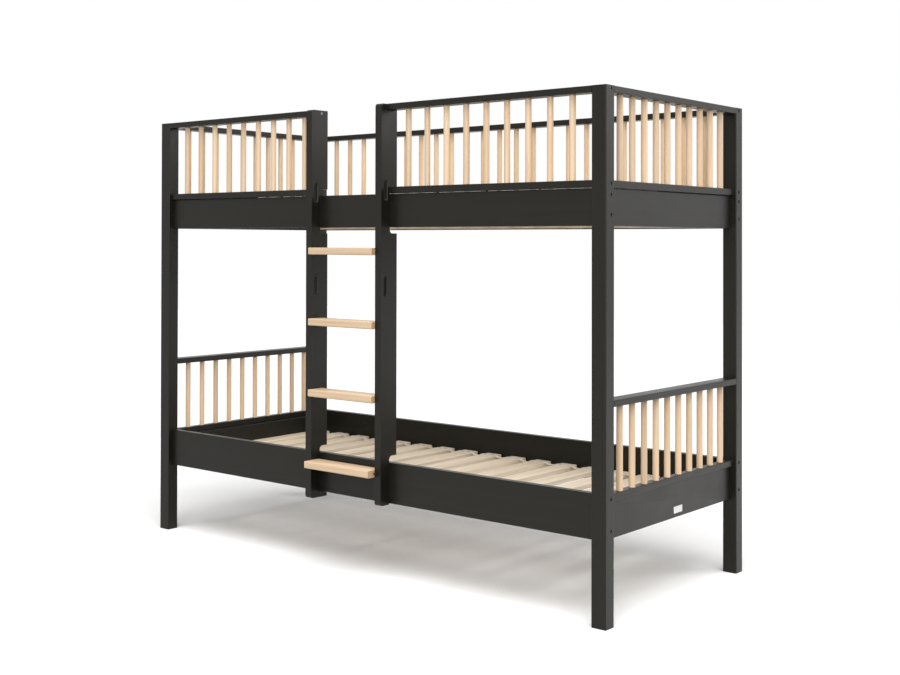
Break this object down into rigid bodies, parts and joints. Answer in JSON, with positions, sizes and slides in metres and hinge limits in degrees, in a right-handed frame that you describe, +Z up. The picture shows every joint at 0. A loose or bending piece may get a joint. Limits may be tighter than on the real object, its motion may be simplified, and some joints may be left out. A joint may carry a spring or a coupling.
{
  "type": "bunk bed with ladder",
  "caption": "Wooden bunk bed on square posts, with spindle guards, slatted bases and an upright ladder notched over the side rails.",
  "frame": {"origin": "on the floor, at the middle of the whole footprint with the ladder rungs included", "axes": "+X along the bed towards its right end as seen from the ladder side, +Y from the ladder side to the back, +Z up"},
  "size_m": [2.104, 1.068, 1.711],
  "materials": {
    "black_wood": "satin black lacquer",
    "pale_wood": "clear matt lacquer on pale softwood",
    "dowel_wood": "plain beech",
    "white_tape": "woven tape",
    "zinc_steel": "zinc plated",
    "plate_metal": "satin"
  },
  "bodies": {
    "root": {"barrel_nuts": "zinc_steel", "cleat_lower_back": "pale_wood", "cleat_lower_front": "pale_wood", "cleat_screws": "zinc_steel", "cleat_upper_back": "pale_wood", "cleat_upper_front": "pale_wood", "end_dowels": "dowel_wood", "end_lower_left_board": "black_wood", "end_lower_left_low_rail": "black_wood", "end_lower_left_spindles": "pale_wood", "end_lower_left_top_rail": "black_wood", "end_lower_right_board": "black_wood", "end_lower_right_low_rail": "black_wood", "end_lower_right_spindles": "pale_wood", "end_lower_right_top_rail": "black_wood", "end_upper_left_board": "black_wood", "end_upper_left_low_rail": "black_wood", "end_upper_left_spindles": "pale_wood", "end_upper_left_top_rail": "black_wood", "end_upper_right_board": "black_wood", "end_upper_right_low_rail": "black_wood", "end_upper_right_spindles": "pale_wood", "end_upper_right_top_rail": "black_wood", "frame_bolts": "zinc_steel", "guard_back_low_rail": "black_wood", "guard_back_spindles": "pale_wood", "guard_back_top_rail": "black_wood", "guard_dowels": "dowel_wood", "guard_front_left_low_rail": "black_wood", "guard_front_left_spindles": "pale_wood", "guard_front_left_top_rail": "black_wood", "guard_front_right_low_rail": "black_wood", "guard_front_right_spindles": "pale_wood", "guard_front_right_top_rail": "black_wood", "ladder_rung_1": "pale_wood", "ladder_rung_2": "pale_wood", "ladder_rung_3": "pale_wood", "ladder_rung_4": "pale_wood", "ladder_rung_dowels": "dowel_wood", "ladder_screws": "zinc_steel", "ladder_stile_left": "black_wood", "ladder_stile_right": "black_wood", "lower_slat_tapes": "white_tape", "lower_slats": "pale_wood", "name_plate": "plate_metal", "post_back_left": "black_wood", "post_back_right": "black_wood", "post_front_left": "black_wood", "post_front_right": "black_wood", "rail_dowels": "dowel_wood", "side_rail_lower_back": "black_wood", "side_rail_lower_front": "black_wood", "side_rail_upper_back": "black_wood", "side_rail_upper_front": "black_wood", "upper_slat_tapes": "white_tape", "upper_slats": "pale_wood"}
  },
  "joints": []
}
